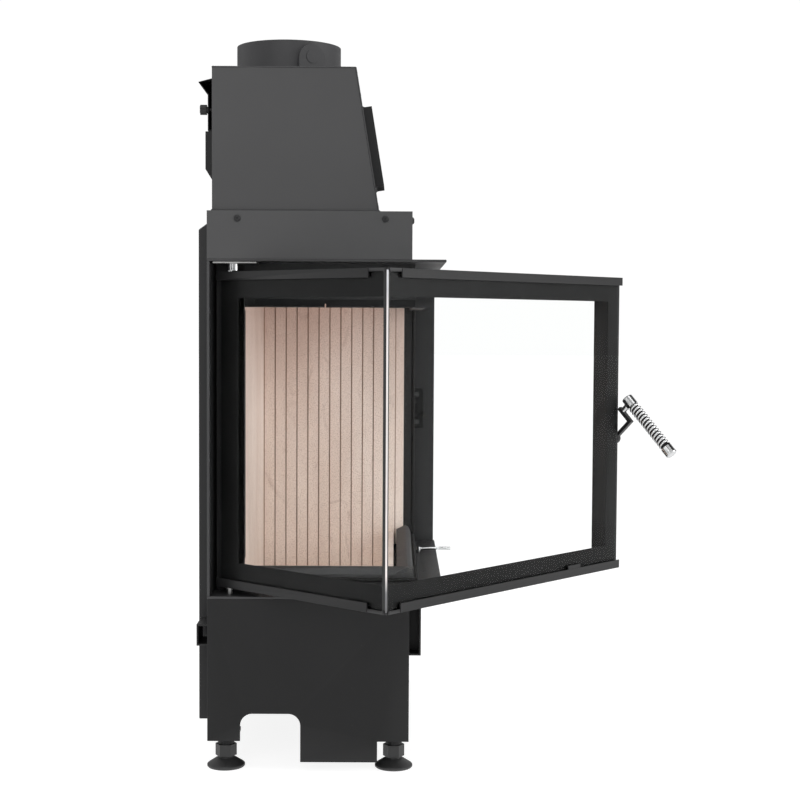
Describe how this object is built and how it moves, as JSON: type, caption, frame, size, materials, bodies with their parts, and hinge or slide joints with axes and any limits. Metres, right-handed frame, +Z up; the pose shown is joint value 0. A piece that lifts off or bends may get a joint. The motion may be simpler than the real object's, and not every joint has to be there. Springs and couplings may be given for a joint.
{
  "type": "wood burning stove",
  "caption": "Corner fireplace insert with a two-sided glass door on one hinge, chrome coil handle, fireclay-lined firebox, smoke dome with flue collar and levelling feet.",
  "frame": {"origin": "middle of the overall box with the door as stored, at the floor", "axes": "+X towards the stove's front, +Y towards its far closed side, +Z up along the flue"},
  "size_m": [0.7864, 0.8511, 1.182],
  "materials": {
    "bearing_brass": "satin",
    "black_paint": "satin",
    "black_plastic": "matte",
    "bright_chrome": "polished",
    "cast_hearth": "matte",
    "clear_glass": "polished",
    "dark_paint": "satin",
    "fireclay": "matte",
    "seal_rope": "matte",
    "seal_silicone": "satin",
    "zinc_steel": "satin"
  },
  "bodies": {
    "casing": {"near_side_panel": "black_paint", "far_side_panel": "black_paint", "base_back_panel": "black_paint", "base_front_panel": "black_paint", "sill_plate": "black_paint", "hearth_pan": "cast_hearth", "back_wall": "black_paint", "far_wall": "black_paint", "hinge_post": "black_paint", "front_post": "dark_paint", "strike_column": "black_paint", "door_header": "dark_paint", "hearth_rim": "cast_hearth", "canopy_plate": "black_paint", "upper_casing": "black_paint", "button_screws": "dark_paint", "smoke_dome": "black_paint", "flue_collar": "black_paint", "collar_lug": "black_paint", "rear_cover": "dark_paint", "rear_rib": "black_paint", "front_rib": "black_paint", "rear_shield": "black_paint", "side_brackets": "dark_paint", "back_bricks": "fireclay", "far_bricks": "fireclay", "low_bricks": "fireclay", "floor_brick": "fireclay", "baffle_brick": "fireclay", "foot_bosses": "dark_paint", "air_box": "black_paint", "strike_plate": "dark_paint", "roller_pin": "zinc_steel", "hinge_plate": "black_paint", "top_hinge_pin": "bright_chrome", "bottom_hinge_pin": "zinc_steel", "rope_seal": "seal_rope"},
    "door": {"short_glass": "clear_glass", "long_glass": "clear_glass", "corner_seal": "seal_silicone", "short_top_rail": "black_paint", "short_bottom_rail": "black_paint", "long_top_rail": "black_paint", "long_bottom_rail": "black_paint", "hinge_stile": "dark_paint", "latch_stile": "dark_paint", "corner_clips": "black_paint", "latch_bush": "bearing_brass"},
    "handle": {"latch_shaft": "zinc_steel", "handle_lever": "dark_paint", "grip_core": "bright_chrome", "grip_coil": "bright_chrome"},
    "latch_roller": {"latch_roller": "bright_chrome"},
    "air_control": {"air_lever": "bright_chrome"},
    "near_cover_knob": {"near_cover_knob": "black_plastic"},
    "far_cover_knob": {"far_cover_knob": "black_plastic"},
    "foot_near_back": {"foot_near_back": "dark_paint"},
    "foot_near_front": {"foot_near_front": "dark_paint"},
    "foot_far_back": {"foot_far_back": "dark_paint"},
    "foot_far_front": {"foot_far_front": "dark_paint"}
  },
  "joints": [
    {"name": "door_hinge", "type": "hinge", "parent": "casing", "child": "door", "pos_m": [-0.33752, -0.19245, 0.5374], "axis": [0, 0, 1], "range_deg": [-48.33, 41.67]},
    {"name": "handle_pivot", "type": "hinge", "parent": "door", "child": "handle", "pos_m": [0.29685, 0.0289, 0.5109], "axis": [0.6648, 0.747, 0], "range_deg": [0, 44.7]},
    {"name": "roller_spin", "type": "hinge", "parent": "casing", "child": "latch_roller", "pos_m": [-0.02082, 0.40055, 0.5259], "axis": [0, 1, 0], "continuous": true},
    {"name": "air_lever_pivot", "type": "hinge", "parent": "casing", "child": "air_control", "pos_m": [-0.03352, 0.25395, 0.278], "axis": [0, 0, 1], "range_deg": [-25, 25]},
    {"name": "near_knob_turn", "type": "hinge", "parent": "casing", "child": "near_cover_knob", "pos_m": [-0.36302, -0.14645, 1.042], "axis": [1, 0, 0], "continuous": true},
    {"name": "far_knob_turn", "type": "hinge", "parent": "casing", "child": "far_cover_knob", "pos_m": [-0.36302, 0.35355, 1.042], "axis": [1, 0, 0], "continuous": true},
    {"name": "foot_near_back_screw", "type": "slide", "parent": "casing", "child": "foot_near_back", "axis": [0, 0, -1], "range_m": [0, 0.025]},
    {"name": "foot_near_front_screw", "type": "slide", "parent": "casing", "child": "foot_near_front", "axis": [0, 0, -1], "range_m": [0, 0.025]},
    {"name": "foot_far_back_screw", "type": "slide", "parent": "casing", "child": "foot_far_back", "axis": [0, 0, -1], "range_m": [0, 0.025]},
    {"name": "foot_far_front_screw", "type": "slide", "parent": "casing", "child": "foot_far_front", "axis": [0, 0, -1], "range_m": [0, 0.025]}
  ]
}
